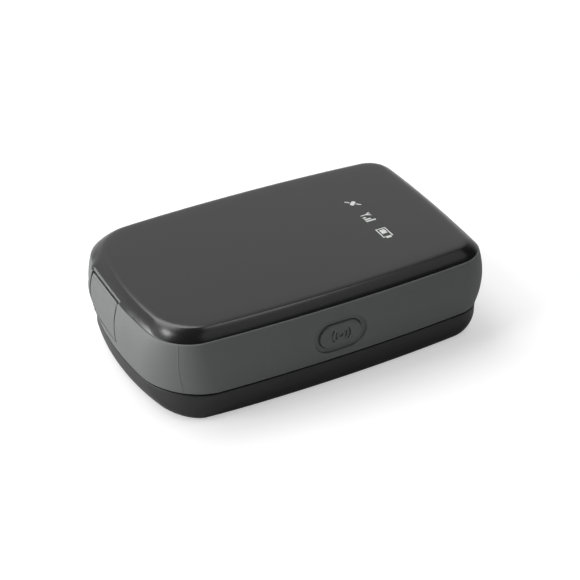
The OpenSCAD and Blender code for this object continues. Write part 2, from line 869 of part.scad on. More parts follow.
module chip_parts() {
  color([0.6, 0.5, 0.38]) for (i = [0:chip_cols - 1], j = [0:chip_rows - 1])
    box(chip, [chip_at[0] + i * chip_pitch[0], chip_at[1] + j * chip_pitch[1], board_top]);
}

module sim_block(grow, h, up) {
  box([sim[0] + 2 * grow, sim[1] + 2 * grow, h], [sim_at[0], sim_at[1], board_top + up]);
}

module sim_holder() {
  color([0.7, 0.7, 0.72]) difference() {
    sim_block(sim_wall, sim_floor + sim[2] + sim_lid, 0);
    sim_block(sim_gap, sim[2] + sim_gap, sim_floor);
    sim_block(-sim_wall, sim_lid + sim[2] + cut, sim_floor + sim_gap);
  }
}

module sim_card() {
  color([0.9, 0.9, 0.88]) translate([sim_at[0], sim_at[1], board_top + sim_floor]) linear_extrude(sim[2])
    difference() {
      square([sim[0], sim[1]], center = true);
      translate([sim[0] / 2, sim[1] / 2]) rotate(45) square(sim_corner, center = true);
    }
}

module battery_pad() {
  color([0.2, 0.2, 0.2]) box([cell_l - 2 * cell_r, cell_w - 2 * cell_r, pad_t], [cell_x, 0, wall]);
}

module battery_cell() {
  color([0.72, 0.74, 0.78]) translate([cell_x - cell_l / 2, 0, wall + pad_t + cell_t / 2])
    rounded_bar(cell_l, cell_w, cell_t, cell_r);
}

module battery_guard_board() {
  color([0.1, 0.3, 0.2])
    box([guard_l, cell_w - 2 * guard_in, guard_t], [cell_x + (cell_l + guard_l) / 2, 0, guard_z]);
}

module battery_header() {
  color([0.93, 0.92, 0.88]) difference() {
    box(header, [header_at[0], header_at[1], board_top]);
    translate([header_at[0] + header_t + cut / 2, header_at[1], 0])
      box([header[0] + cut, header[1] - 2 * header_t, header[2] - 2 * header_t],
        [0, 0, board_top + header_t]);
  }
}

module battery_plug() {
  w = header[1] - 2 * (header_t + snug);
  h = header[2] - 2 * (header_t + snug);
  color([0.88, 0.87, 0.83]) translate([plug_x0(), header_at[1] - w / 2, board_top + header_t + snug])
    cube([header[0] - header_t - snug + plug_out, w, h]);
}

function plug_x0() = header_at[0] - header[0] / 2 + header_t + snug;
function plug_x1() = header_at[0] + header[0] / 2 + plug_out;

function unit(v) = v / norm(v);

// Smooth curve through the given points
function smooth(p, n) = [
  for (i = [0:len(p) - 2], k = [0:n - 1])
    let (t = k / n, a = p[max(i - 1, 0)], b = p[i], c = p[i + 1], d = p[min(i + 2, len(p) - 1)])
    (2 * b + (c - a) * t + (2 * a - 5 * b + 4 * c - d) * t * t + (3 * b - a - 3 * c + d) * t * t * t) / 2,
  p[len(p) - 1]
];

// Round lead swept along a curve
module lead(points) {
  path = smooth(points, lead_steps);
  m = len(path);
  rings = [for (i = [0:m - 1])
    let (t = unit(path[min(i + 1, m - 1)] - path[max(i - 1, 0)]))
    let (u = unit(cross(t, [1, 1, 0])), v = cross(t, u))
    for (k = [0:lead_sides - 1])
      path[i] + lead_r * (cos(360 * k / lead_sides) * u + sin(360 * k / lead_sides) * v)];
  walls = [for (i = [0:m - 2], j = [0:lead_sides - 1], h = [0, 1])
    let (a = i * lead_sides + j, b = i * lead_sides + (j + 1) % lead_sides)
    h == 0 ? [a, a + lead_sides, b + lead_sides] : [a, b + lead_sides, b]];
  base = [[for (j = [0:lead_sides - 1]) j]];
  top = [[for (j = [0:lead_sides - 1]) m * lead_sides - 1 - j]];
  polyhedron(points = rings, faces = concat(base, walls, top));
}

// Each lead leaves the guard board upwards, runs under the circuit board, one above the
// other, rises through the board's slot and turns into the plug
module battery_lead(side) {
  off = side * lead_pitch / 2;
  y0 = pad_in - cell_w / 2 + off;
  y1 = -(case_w / 2 - board_in[1] - lead_slot[1] / 2) + off;
  y2 = header_at[1] + off;
  x0 = cell_x + cell_l / 2 + guard_l / 2;
  x2 = plug_x1();
  z0 = guard_z + guard_t + lead_clear;
  z1 = board_z - lead_under - (1 - side) * lead_pitch / 2;
  z2 = board_top + header[2] / 2;
  lead([
    [x0, y0, z0],
    [x0, y0, z0 + lead_r],
    [x0, y0 - lead_r, z1],
    [x0, y1 + lead_r, z1],
    [x0, y1, z1 + lead_r],
    [x0, y1, z2 - lead_bend],
    [x0 - lead_bend, y1, z2],
    [x2 + lead_bend, y2, z2],
    [x2 + lead_r, y2, z2],
    [x2, y2, z2]
  ]);
}

module battery_lead_red() {
  color([0.75, 0.08, 0.08]) battery_lead(1);
}

module battery_lead_black() {
  color([0.05, 0.05, 0.05]) battery_lead(-1);
}

top_cover();
side_band();
bottom_shell();
case_gasket();
case_screws();
port_flap();
sos_button();
sos_switch_body();
sos_switch_plunger();
power_button();
power_switch_body();
power_switch_plunger();
gps_icon_lens();
signal_icon_lens();
battery_icon_lens();
light_guide();
status_leds();
circuit_board();
board_screws();
usb_socket_shell();
usb_tongue();
usb_contacts();
gps_antenna();
gps_antenna_feed();
gps_receiver();
cell_module_base();
cell_module_can();
cell_antenna();
processor();
motion_sensor();
chip_parts();
sim_holder();
sim_card();
battery_pad();
battery_cell();
battery_guard_board();
battery_header();
battery_plug();
battery_lead_red();
battery_lead_black();
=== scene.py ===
import json
import math

import bmesh
import bpy
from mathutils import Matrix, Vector


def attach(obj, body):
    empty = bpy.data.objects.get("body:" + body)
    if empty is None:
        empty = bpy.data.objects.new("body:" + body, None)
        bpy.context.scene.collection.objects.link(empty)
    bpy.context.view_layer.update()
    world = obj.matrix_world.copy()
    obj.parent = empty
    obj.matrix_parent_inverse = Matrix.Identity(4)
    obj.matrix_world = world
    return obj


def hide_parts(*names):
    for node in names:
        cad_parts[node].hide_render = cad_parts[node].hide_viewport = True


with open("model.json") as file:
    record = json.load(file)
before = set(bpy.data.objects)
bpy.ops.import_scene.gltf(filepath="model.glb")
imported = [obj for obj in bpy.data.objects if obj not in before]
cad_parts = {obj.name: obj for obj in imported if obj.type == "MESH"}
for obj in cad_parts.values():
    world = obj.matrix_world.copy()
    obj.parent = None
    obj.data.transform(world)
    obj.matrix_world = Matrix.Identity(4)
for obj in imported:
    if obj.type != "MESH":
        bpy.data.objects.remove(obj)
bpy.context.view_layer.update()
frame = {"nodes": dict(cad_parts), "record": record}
MM = 0.001

# Case sizes in millimetres, as the frame's part has them
CASE_L = 77.0
CASE_W = 48.0
CASE_H = 21.0
WALL = 1.6
PORT_R = 11.1
ICON_R = 7.2
PORT_BOW = 2.9
ICON_BOW = 0.9
SIDE_BOW = 1.5
SHELL_H = 6.24
COVER_H = 2.32
ROOF_T = 1.6
SEAL_T = 0.3
BASE_ARC = 4.1
FIT = 0.1
RIM_T = 1.0
RIM_H = 2.0
SEAM_TOP = CASE_H - COVER_H
BELLY_Z = (SHELL_H + SEAM_TOP) / 2
ROOF_Z = CASE_H - ROOF_T

# Inward runs at the icon end, along the sides and at the port end, from the foot up to the crest
BASE_IN = (5.02, 1.8, 4.46)
LOW_IN = (1.37, 0.5, 0.87)
HIGH_IN = (1.06, 0.81, 1.06)
CREST_IN = (3.3, 2.67, 2.77)
INNER = tuple(max(LOW_IN[k], HIGH_IN[k]) + WALL for k in (0, 1))

# Bow and corner radius of the port end at a few heights, listed as (z, bow, radius)
PORT_ENDS = [(0.0, 4.49, 7.0), (6.24, 3.64, 12.75), (18.68, 3.11, 9.36), (21.0, 3.11, 11.5)]

# Flat face round the flap: where it starts, over what height it comes in and goes out again,
# how far it passes the lip, and how far it fades out on the far side and on the near side
FLAT_Z = 9.2
FLAT_RISE = 6.5
FLAT_FALL = 0.9 * COVER_H
FLAT_PAST = 0.2
FLAT_FADE = (3.0, 5.5)

# Rim of the cover: how far its face looks up in degrees at the seam and at the crest, how far the crest
# is under the top, and the bends that close it, listed as (radius, first angle, last angle)
RIM_TILT = (30, 56)
CREST_DROP = 0.294
CREST_BENDS = [(0.9, 56, 75), (4.0, 75, 88), (60.0, 88, 90)]
COVER_STEP = 0.13
CAP_INSET = 1.2

# Bottom shell: round of its floor as (up, inset), rows over the rounded foot, inset of its flat base
FLOOR_ROUND = ((0, 0.4), (0.12, 0.12), (0.4, 0))
SHELL_ROWS = (5.4, 4.7)
BASE_INSET = 0.8

# Small rounds and chamfers, and the angle up to which an edge is shaded smooth
EDGE_R = 0.16
CHAMFER = 0.12
SMALL_CHAMFER = 0.1
SHARP_ANGLE = 32

# Mould line: where it stands, how far it ends from the seams, and its section as (along, out)
MOULD_LINE = (-34.6, -22.0)
MOULD_END = 0.25
MOULD_RIDGE = ((-0.14, -0.03), (-0.08, 0.03), (0, 0.055), (0.08, 0.03), (0.14, -0.03), (0, -0.06))

# Buttons: places, sizes, and the rings over the cap, counted from its middle line and from its outline
SOS_X, POWER_X, BUTTON_Z = 0.8, 12.0, 12.1
SOS = (9.4, 5.3)
POWER = (6.0, 2.8)
BUTTON_GAP = 0.15
BUTTON_R = 0.42
BUTTON_TIP = 3.4
BUTTON_CORE = (0.03, 0.4)
BUTTON_FACE = (-1.0, -0.7)

# Flange behind the wall: its distance from the wall, then its rings as (growth, depth), and the stem on it
FLANGE_IN = 0.25
FLANGE = ((0, 0), (0.8, 0), (0.9, 0.1), (0.9, 0.5), (0.8, 0.6))
STEM_R = 1.0

# Moat and hole round each button
MOAT_W, MOAT_D = 1.15, 0.45
MOAT_EDGE_R, MOAT_FOOT_R = 0.22, 0.2
MOAT_OVER = 0.6
HOLE_EDGE_R = 0.1
HOLE_DEPTH = 3.6

# Mark on the alarm button: depths of its cutters, dot, and step, thickness and half angle of the waves
MARK_DEPTHS = (-0.3, 0.04, 0.25)
DOT_R = 0.5
WAVE_STEP, WAVE_T, WAVE_SPREAD = 0.85, 0.35, 42

# Lip of the band over the flap, and the cover's notch for it
PORT_Y = 4.2
LIP_H = 0.6
LIP_BACK = 0.42
LIP_HALF = 6.9
LIP_ROOT = 1.6
LIP_R = 0.14
LIP_CHAMFER = 0.08
LIP_GAP = 0.06
NOTCH_LOW, NOTCH_R = 0.4, 0.2

# Flap and its hinge: insets of the rings over its face, then drop and depth of those down its side
FLAP_HALF = 6.3
FLAP_T = 1.7
FLAP_GAP = 0.2
FLAP_SLIT = 0.1
FLAP_TOP = SEAM_TOP - 0.15
FLAP_BEVEL = 0.6
FLAP_R, FLAP_FACE_R, FLAP_EDGE_R = 0.35, 0.3, 0.06
FLAP_FACE = (3.6, 2.6, 1.6, 0.8, 0.3, 0.12)
FLAP_SIDE = ((0.04, 0.1), (0, 0.13), (0.02, 0.2))
BODY_IN, BODY_DROP, BODY_DEPTH = 0.03, 0.9, 0.3
HINGE_IN = 0.8
HINGE_Z = 10.55
HEEL, HEEL_GAP = 0.85, 0.04
SWING_R = 1.342
PIN_ENDS = (-6.75, 7.15)
PIN_R, PIN_HOLE_R, BARREL_R = 0.2, 0.24, 0.3
PIN_CHAMFER, PIN_PLAY, BARREL_IN = 0.08, 0.05, 0.12

# Recess of the flap: room under the heel as (x, room), the x where the foot turns, first open to the top
# and then shut, and the slit over the flap
HEEL_ROOM = ((1.2, 0.25), (0.3, 0.25), (0.0, 0.25), (-0.36, 0.25), (-0.5, 0.7), (-0.8, 0.7))
RECESS_BACK = -(FLAP_T + FLAP_GAP)
TURN_OPEN = (-1.2, -1.6, RECESS_BACK)
TURN_SHUT = (RECESS_BACK, -2.05, -2.2, -2.28)
RECESS_SIDE, RECESS_DROP, RECESS_R = 0.08, 0.01, 0.1
SLIT_LOW, SLIT_HIGH, SLIT_FRONT, SLIT_BACK, SLIT_R = 1.0, 0.4, 0.5, 0.38, 0.05

# Block behind the flap, its hole for the plug, and the plug
PORT_BLOCK, PORT_BLOCK_R = (-3.4, -1.2, -7.9, 7.9), 0.2
PORT_HOLE, PORT_HOLE_R = (-4.35, 4.35, 10.3, 15.2), 1.0
PORT_HOLE_XS = (-1.2, -4.6)
PLUG_W, PLUG_H, PLUG_Z = 7.7 / 2 + 0.1, 3.9 / 2 + 0.1, 12.75
PLUG_L, PLUG_ROOT, PLUG_CHAMFER, PLUG_R = 0.8, 0.3, 0.15, 1.0

# Screw columns with their bores and the rooms for the screw heads, and posts under the board
BOSS = (28.3, 14.8)
BOSS_R, BORE_R = 2.4, 1.0
MEET_Z = 7.0
BORE_TOP = 15.0
ROOT_Z = 0.9
HEAD_R, HEAD_Z = 2.0, 4.0
POST = (28.5, 9.6)
POST_R, POST_HOLE_R, POST_HOLE_Z = 2.0, 0.95, 6.3
BOARD_Z = 9.6

# Steps of the curved outline, rows up the case pieces, and the least room between rows
CORNER_STEPS = 20
SIDE_STEPS = 32
END_STEPS = 36
RIM_ROWS = 18
BAND_ROWS = 18
BASE_ROWS = 20
MOULD_ROWS = 12
BEND_STEPS = 6
ROW_GAP = 0.05
HAIR = 0.0001


def run_in(z, k):
    """Inward run of the case at height z, at the icon end (0), the sides (1) or the port end (2)."""
    low, high = LOW_IN[k], HIGH_IN[k]
    if z < BASE_ARC:
        return BASE_IN[k] + (low - BASE_IN[k]) * math.sqrt(max(0.0, 1 - (1 - z / BASE_ARC) ** 2))
    if z < SHELL_H:
        return low
    if z < BELLY_Z:
        return low * ((BELLY_Z - z) / (BELLY_Z - SHELL_H)) ** 2
    if z < SEAM_TOP:
        return high * ((z - BELLY_Z) / (SEAM_TOP - BELLY_Z)) ** 2
    first, last = (math.radians(t) for t in RIM_TILT)
    share = min(1.0, (z - SEAM_TOP) / (COVER_H - CREST_DROP))
    tilt = math.asin(math.sin(first) + (math.sin(last) - math.sin(first)) * share)
    run = (CREST_IN[k] - high) * (math.cos(first) - math.cos(tilt))
    return high + run / (math.cos(first) - math.cos(last))


def ease(t):
    t = min(1.0, max(0.0, t))
    return t * t * (3 - 2 * t)


def flat_share(y, z):
    """How flat the port end is at world y and z: 1 is the face round the flap, 0 the bowed end."""
    rise = ease((z - FLAT_Z) / FLAT_RISE) if z <= SEAM_TOP else 1 - ease((z - SEAM_TOP) / FLAT_FALL)
    past = abs(y - PORT_Y) - LIP_HALF - FLAT_PAST
    return rise * (1 - ease(past / (FLAT_FADE[0] if y > PORT_Y else FLAT_FADE[1])))


def port_shape(z):
    """Bow and corner radius of the port end at height z."""
    for (z0, bow0, r0), (z1, bow1, r1) in zip(PORT_ENDS, PORT_ENDS[1:]):
        if z <= z1:
            t = max(0.0, (z - z0) / (z1 - z0))
            return bow0 + (bow1 - bow0) * t, r0 + (r1 - r0) * t
    return PORT_ENDS[-1][1:]


def between(start, end, steps):
    """Points that divide the line from start to end in even steps, without its ends."""
    return [tuple(p + (q - p) * i / steps for p, q in zip(start, end)) for i in range(1, steps)]


def outline(icon_in, side_in, port_in, bow=PORT_BOW, port_r=PORT_R, z=0.0):
    """The case seen from above, drawn in by the given runs at its ends and sides."""
    hy = CASE_W / 2 - side_in
    arcs = []
    for k in range(4):
        sx = 1 if k < 2 else -1
        sy = 1 if k in (1, 2) else -1
        end_in = icon_in if sx > 0 else port_in
        hx = CASE_L / 2 - end_in
        r = max((ICON_R if sx > 0 else port_r) - (end_in + side_in) / 2, 0.6)
        angles = [math.radians(90 * k - 90 + 90 * i / CORNER_STEPS) for i in range(CORNER_STEPS + 1)]
        arcs.append([(sx * (hx - r) + r * math.cos(a), sy * (hy - r) + r * math.sin(a)) for a in angles])
    points = []
    for k in range(4):
        steps = SIDE_STEPS if k % 2 else END_STEPS
        points += arcs[k] + between(arcs[k][-1], arcs[(k + 1) % 4][0], steps)
    ring = []
    for x, y in points:
        hx = CASE_L / 2 - (icon_in if x > 0 else port_in)
        end_bow = ICON_BOW if x > 0 else bow * (1 - flat_share(y, z))
        drawn_x = x - math.copysign(1, x) * end_bow * (abs(y) / hy) ** 2 * (abs(x) / hx) ** 4
        drawn_y = y - math.copysign(1, y) * SIDE_BOW * (abs(x) / hx) ** 2 * (abs(y) / hy) ** 4
        ring.append((drawn_x, drawn_y))
    return ring


def level(z, inset=0.0):
    """Ring of the case at height z, inset past its outer face there."""
    ring = outline(run_in(z, 0) + inset, run_in(z, 1) + inset, run_in(z, 2) + inset, *port_shape(z), z)
    return [(x, y, z) for x, y in ring]


def plate_ring(z, inset):
    """Ring at height z, inset from the straight inner face of the side walls."""
    return [(x, y, z) for x, y in outline(INNER[0] + inset, INNER[1] + inset, INNER[0] + inset)]


def new_object(name, verts, faces):
    mesh = bpy.data.meshes.new(name)
    mesh.from_pydata([[c * MM for c in v] for v in verts], [], faces)
    mesh.update()
    obj = bpy.data.objects.new(name, mesh)
    bpy.context.scene.collection.objects.link(obj)
    return obj


def outward(obj):
    """Turns all faces of a closed mesh outwards."""
    bm = bmesh.new()
    bm.from_mesh(obj.data)
    bmesh.ops.recalc_face_normals(bm, faces=bm.faces)
    bm.to_mesh(obj.data)
    bm.free()


def skin(name, rings, loop=False):
    """Closed skin over rings of equal point count, capped at both ends or joined end to end."""
    n = len(rings[0])
    m = len(rings)
    verts = [p for ring in rings for p in ring]
    faces = []
    for i in range(m if loop else m - 1):
        for j in range(n):
            a, b = i * n + j, i * n + (j + 1) % n
            c, d = ((i + 1) % m) * n + (j + 1) % n, ((i + 1) % m) * n + j
            faces.append((a, b, c, d))
    if not loop:
        faces.append(tuple(reversed(range(n))))
        faces.append(tuple((m - 1) * n + j for j in range(n)))
    obj = new_object(name, verts, faces)
    outward(obj)
    return obj


def apply_modifiers(obj):
    graph = bpy.context.evaluated_depsgraph_get()
    mesh = bpy.data.meshes.new_from_object(obj.evaluated_get(graph))
    obj.modifiers.clear()
    obj.data = mesh


def boolean(obj, other, how="DIFFERENCE"):
    """Cuts another closed mesh out of obj or joins it, and removes the other one."""
    mod = obj.modifiers.new("cut", "BOOLEAN")
    mod.operation = how
    mod.solver = "EXACT"
    mod.object = other
    apply_modifiers(obj)
    bpy.data.objects.remove(other)


def merge(obj, *others):
    """Puts other meshes into obj as they are."""
    bm = bmesh.new()
    for piece in (obj, *others):
        bm.from_mesh(piece.data)
    bm.to_mesh(obj.data)
    bm.free()
    for piece in others:
        bpy.data.objects.remove(piece)


def smooth(obj):
    """Shades the mesh smooth, apart from its sharp edges."""
    obj.data.shade_smooth()
    obj.data.set_sharp_from_angle(angle=math.radians(SHARP_ANGLE))
    mod = obj.modifiers.new("weighted", "WEIGHTED_NORMAL")
    mod.keep_sharp = True
    mod.weight = 60
    apply_modifiers(obj)


def bend(r, steps, flip=False):
    """Points of a quarter round as (run, rise) from its start, which is level, or upright if flipped."""
    turns = [math.radians(90 * i / steps) for i in range(steps + 1)]
    if flip:
        return [(r * (1 - math.cos(t)), r * math.sin(t)) for t in turns]
    return [(r * math.sin(t), r * (1 - math.cos(t))) for t in turns]


def full_turn(n=24):
    """Angles of n even steps round a circle."""
    return [math.radians(360 * i / n) for i in range(n)]


def side_point(side, x, z, depth):
    """Point under the long side (-1 front, 1 back) at x and z, at a depth from its face."""
    hx = CASE_L / 2 - run_in(z, 0)
    hy = CASE_W / 2 - run_in(z, 1)
    return (x, side * (hy - SIDE_BOW * (x / hx) ** 2 - depth), z)


def flat_point(side, x0, x, z, depth):
    """The same, measured from the upright plane that touches the side at x0."""
    return (x, side * (CASE_W / 2 - SIDE_BOW * (x0 / (CASE_L / 2)) ** 2 - depth), z)


def port_point(x, y, z):
    """World point of a place in the port's frame: x outwards, y across the face."""
    return (-CASE_L / 2 - x, PORT_Y - y, z)


def port_ring(x, edges):
    """Ring across the port at x of its frame, over points listed as (y, z)."""
    return [port_point(x, y, z) for y, z in edges]


def port_run(y, z):
    """Inward run of the port face: flat across its top, with the bow of the end at its foot."""
    z = min(z, SEAM_TOP)
    across = (PORT_Y - y) / (CASE_W / 2 - run_in(z, 1))
    return run_in(z, 2) + (1 - flat_share(PORT_Y - y, z)) * port_shape(z)[0] * across**2


def port_face(y, z, depth=0.0):
    """Point under the port face at y and z of the port's frame."""
    return port_point(-port_run(y, z) - depth, y, z)


def stadium(length, height, turn=36, straight=12):
    """Points of a slot with round ends, centred, in its own plane."""
    r = max(height / 2, 0.01)
    s = max(length / 2 - r, 0.005)
    points = []
    for sx in (1, -1):
        for i in range(turn + 1):
            a = math.radians(-90 + 180 * i / turn) + (0 if sx > 0 else math.pi)
            points.append((sx * s + r * math.cos(a), r * math.sin(a)))
        for i in range(1, straight):
            points.append((sx * s * (1 - 2 * i / straight), sx * r))
    return points


def side_ring(side, x0, length, height, depth):
    """Slot-shaped ring round a button's middle, at a depth under the long side."""
    return [side_point(side, x0 + u, BUTTON_Z + v, depth) for u, v in stadium(length, height)]


def rounded(u0, u1, v0, v1, r, steps=6, straight=10):
    """Points of a rectangle with round corners."""
    r = max(min(r, (u1 - u0) / 2 - 0.002, (v1 - v0) / 2 - 0.002), 0.001)
    centres = [(u1 - r, v0 + r), (u1 - r, v1 - r), (u0 + r, v1 - r), (u0 + r, v0 + r)]
    points = []
    for k, (cu, cv) in enumerate(centres):
        for i in range(steps + 1):
            a = math.radians(90 * k - 90 + 90 * i / steps)
            points.append((cu + r * math.cos(a), cv + r * math.sin(a)))
        nu, nv = centres[(k + 1) % 4]
        a = math.radians(90 * k)
        end = (nu + r * math.cos(a), nv + r * math.sin(a))
        points += between(points[-1], end, straight)
    return points


def lathe(name, x, y, profile):
    """Turned piece on an upright axis at x and y: profile lists (radius, z)."""
    turns = full_turn(48)
    rings = [[(x + r * math.cos(t), y + r * math.sin(t), z) for t in turns] for r, z in profile]
    return skin(name, rings)


def rod(name, profile):
    """Turned piece on the flap's hinge line: profile lists (radius, y) in the port's frame."""
    rings = []
    for r, y in profile:
        circle = [(r * math.cos(t), r * math.sin(t)) for t in full_turn()]
        rings.append([port_point(-HINGE_IN + u, y, HINGE_Z + v) for u, v in circle])
    return skin(name, rings)


def prism(name, points, z0, z1):
    return skin(name, [[(x, y, z0) for x, y in points], [(x, y, z1) for x, y in points]])


def make_cover():
    """Top cover: skirt inside the band, rolled rim, slight dome, screw columns and notch for the lip."""
    wall = FIT + RIM_T
    foot = SEAM_TOP - RIM_H
    rings = [plate_ring(ROOF_Z, wall + CAP_INSET), plate_ring(ROOF_Z, wall)]
    rings += [plate_ring(foot + CHAMFER, wall), plate_ring(foot, wall - CHAMFER)]
    rings += [plate_ring(foot, FIT + CHAMFER), plate_ring(foot + CHAMFER, FIT)]
    rings.append(plate_ring(SEAM_TOP, FIT))
    for run, rise in bend(EDGE_R, 4):
        rings.append(level(SEAM_TOP + rise, COVER_STEP + EDGE_R - run))
    for i in range(1, RIM_ROWS + 1):
        z = SEAM_TOP + (COVER_H - CREST_DROP) * i / RIM_ROWS
        if z > SEAM_TOP + EDGE_R + ROW_GAP:
            rings.append(level(z, COVER_STEP))
    inset, z = COVER_STEP, CASE_H - CREST_DROP
    for r, first, last in CREST_BENDS:
        steps = range(BEND_STEPS + 1)
        turns = [math.radians(first + (last - first) * i / BEND_STEPS) for i in steps]
        for a, b in zip(turns, turns[1:]):
            inset += r * (math.cos(a) - math.cos(b))
            z += r * (math.sin(b) - math.sin(a))
            rings.append(level(z, inset))
    obj = skin("cover", rings)
    k = SMALL_CHAMFER
    profile = [(BOSS_R, ROOF_Z + 0.3), (BOSS_R, MEET_Z + k), (BOSS_R - k, MEET_Z)]
    profile += [(BORE_R + k, MEET_Z), (BORE_R, MEET_Z + k), (BORE_R, BORE_TOP)]
    for sx in (-1, 1):
        for sy in (-1, 1):
            boolean(obj, lathe("boss", sx * BOSS[0], sy * BOSS[1], profile), "UNION")
    half = LIP_HALF + LIP_GAP
    edges = rounded(-half, half, SEAM_TOP - NOTCH_LOW, SEAM_TOP + LIP_H + LIP_GAP, NOTCH_R)
    boolean(obj, skin("notch", [port_ring(x, edges) for x in (1.0, -(HIGH_IN[0] + WALL + 0.05))]))
    return obj


def make_lip():
    """Lip of the band over the flap, set back from its face."""
    back = -HIGH_IN[0] - WALL
    face = -HIGH_IN[0] - LIP_BACK
    root = SEAM_TOP - LIP_ROOT
    stations = [(-LIP_HALF, LIP_CHAMFER), (-LIP_HALF + LIP_CHAMFER, 0)]
    stations += [(LIP_HALF - LIP_CHAMFER, 0), (LIP_HALF, LIP_CHAMFER)]
    rings = []
    for y, inset in stations:
        top = SEAM_TOP + LIP_H - inset
        ring = [(back, root), (face - inset, root), (face - inset, SEAM_TOP)]
        ring += [(face - inset - run, top - LIP_R + climb) for run, climb in bend(LIP_R, 4, flip=True)]
        rings.append([port_point(x, y, z) for x, z in ring + [(back, top)]])
    return skin("lip", rings)


def make_mould_line(z0):
    """Thin upright ridge that the mould leaves on the near corner of the band."""
    middle = level(BELLY_Z)
    k = min(range(len(middle)), key=lambda j: math.dist(middle[j][:2], MOULD_LINE))
    rings = []
    for i in range(MOULD_ROWS + 1):
        ring = level(z0 + MOULD_END + (SEAM_TOP - z0 - 2 * MOULD_END) * i / MOULD_ROWS)
        along = (Vector(ring[k + 1]) - Vector(ring[k - 1])).normalized()
        out = Vector((along.y, -along.x, 0))
        rings.append([tuple(Vector(ring[k]) + along * u + out * v) for u, v in MOULD_RIDGE])
    return skin("mould_line", rings)


def cut_moats(obj):
    """Cuts the sunk ring and the hole of each button, with rounded edges, into the band."""
    profile = [(MOAT_W + MOAT_EDGE_R, -MOAT_OVER)]
    profile += [(MOAT_W + MOAT_EDGE_R - run, rise) for run, rise in bend(MOAT_EDGE_R, 5)]
    foot = MOAT_D - MOAT_FOOT_R
    profile += [(MOAT_W - run, foot + rise) for run, rise in bend(MOAT_FOOT_R, 5, flip=True)]
    profile += [(BUTTON_GAP + HOLE_EDGE_R - run, MOAT_D + rise) for run, rise in bend(HOLE_EDGE_R, 3)]
    profile += [(BUTTON_GAP, HOLE_DEPTH)]
    for side, x0, (length, height) in ((-1, SOS_X, SOS), (1, POWER_X, POWER)):
        rings = []
        for grow, depth in profile:
            rings.append(side_ring(side, x0, length + 2 * grow, height + 2 * grow, depth))
        boolean(obj, skin("moat", rings))


def swing(x):
    """Half height at x of the round room in which the flap's foot turns."""
    return math.sqrt(max(0.0, SWING_R**2 - (x + HINGE_IN) ** 2))


def cut_recess(obj):
    """Cuts the flap's recess, the slit under the lip, the socket's hole and the pin's hole."""
    half = FLAP_HALF + FLAP_GAP + RECESS_SIDE
    top = SEAM_TOP - RECESS_DROP
    rings = []
    for x, room in HEEL_ROOM:
        rings.append(port_ring(x, rounded(-half, half, HINGE_Z - HEEL - room, top, RECESS_R)))
    for x in TURN_OPEN:
        rings.append(port_ring(x, rounded(-half, half, HINGE_Z - swing(x), top, RECESS_R)))
    for x in TURN_SHUT:
        low, high = HINGE_Z - swing(x), HINGE_Z + swing(x)
        rings.append(port_ring(x, rounded(-half, half, low, high, RECESS_R)))
    boolean(obj, skin("recess", rings))
    edges = rounded(-half, half, SEAM_TOP - SLIT_LOW, SEAM_TOP + SLIT_HIGH, SLIT_R)
    boolean(obj, skin("top_slit", [port_ring(x, edges) for x in (SLIT_FRONT, -HIGH_IN[0] - SLIT_BACK)]))
    edges = rounded(*PORT_HOLE, PORT_HOLE_R)
    boolean(obj, skin("port_hole", [port_ring(x, edges) for x in PORT_HOLE_XS]))
    low, high = PIN_ENDS[0] - PIN_PLAY, PIN_ENDS[1] + PIN_PLAY
    boolean(obj, rod("pin_hole", [(PIN_HOLE_R, low), (PIN_HOLE_R, high)]))


def make_band():
    """Side band: lip, block behind the flap, moats, the flap's recess and the mould line."""
    z0 = SHELL_H + SEAL_T / 2
    rings = [plate_ring(z0, 0)]
    for run, rise in bend(EDGE_R, 4):
        rings.append(level(z0 + rise, EDGE_R - run))
    for i in range(1, BAND_ROWS):
        rings.append(level(z0 + EDGE_R + (SEAM_TOP - z0 - 2 * EDGE_R) * i / BAND_ROWS))
    # The last row ends a hair under the seam, so that it is still a row of the band
    for run, rise in bend(EDGE_R, 4, flip=True):
        rings.append(level(SEAM_TOP - EDGE_R + rise - HAIR, run))
    rings.append(plate_ring(SEAM_TOP, 0))
    obj = skin("band", rings, loop=True)
    boolean(obj, make_lip(), "UNION")

    heights = (SHELL_H + RIM_H + FIT, SEAM_TOP - RIM_H - FIT)
    block = rounded(*PORT_BLOCK, PORT_BLOCK_R)
    boolean(obj, skin("port_block", [[port_point(x, y, z) for x, y in block] for z in heights]), "UNION")
    cut_moats(obj)
    cut_recess(obj)
    merge(obj, make_mould_line(z0))
    return obj


